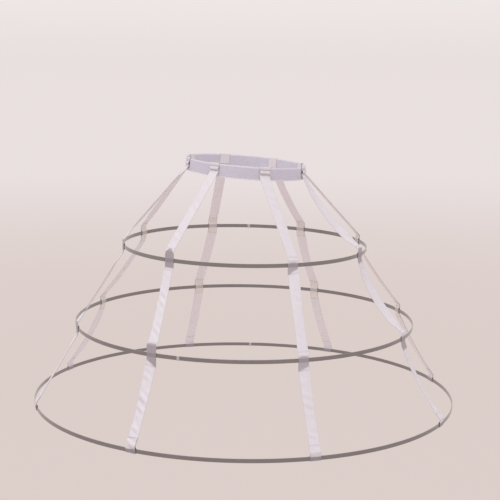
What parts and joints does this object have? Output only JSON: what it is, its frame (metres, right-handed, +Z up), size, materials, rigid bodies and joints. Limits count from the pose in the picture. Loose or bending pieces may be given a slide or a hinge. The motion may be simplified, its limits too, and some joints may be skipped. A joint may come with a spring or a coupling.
{
  "type": "crinoline cage",
  "caption": "Cage crinoline: flat spring steel hoops, wider towards the hem, hang on white satin tapes from an elastic waistband and hold a skirt out from the legs.",
  "frame": {"origin": "the middle of the waist opening, at half the height of the waistband", "axes": "+Z up along the wearer, -Y to the wearer's front, +X to the wearer's left"},
  "size_m": [0.6829, 0.6828, 0.3984],
  "materials": {
    "waistband_elastic": "knitted white elastic",
    "satin_tape": "white satin ribbon",
    "casing_ribbon": "thin white ribbon",
    "hoop_steel": "grey coated spring steel",
    "clip_metal": "tinned sheet"
  },
  "bodies": {
    "root": {"waistband": "waistband_elastic", "hoop_top": "hoop_steel", "hoop_top_clip": "clip_metal", "hoop_middle": "hoop_steel", "hoop_middle_clip": "clip_metal", "hoop_bottom": "hoop_steel", "hoop_bottom_clip": "clip_metal", "tape_centre_front": "satin_tape", "casing_top_centre_front": "casing_ribbon", "casing_middle_centre_front": "casing_ribbon", "tape_left_front": "satin_tape", "casing_top_left_front": "casing_ribbon", "casing_middle_left_front": "casing_ribbon", "tape_left_side": "satin_tape", "casing_top_left_side": "casing_ribbon", "casing_middle_left_side": "casing_ribbon", "tape_left_back": "satin_tape", "casing_top_left_back": "casing_ribbon", "casing_middle_left_back": "casing_ribbon", "tape_centre_back": "satin_tape", "casing_top_centre_back": "casing_ribbon", "casing_middle_centre_back": "casing_ribbon", "tape_right_back": "satin_tape", "casing_top_right_back": "casing_ribbon", "casing_middle_right_back": "casing_ribbon", "tape_right_side": "satin_tape", "casing_top_right_side": "casing_ribbon", "casing_middle_right_side": "casing_ribbon", "tape_right_front": "satin_tape", "casing_top_right_front": "casing_ribbon", "casing_middle_right_front": "casing_ribbon"}
  },
  "joints": []
}
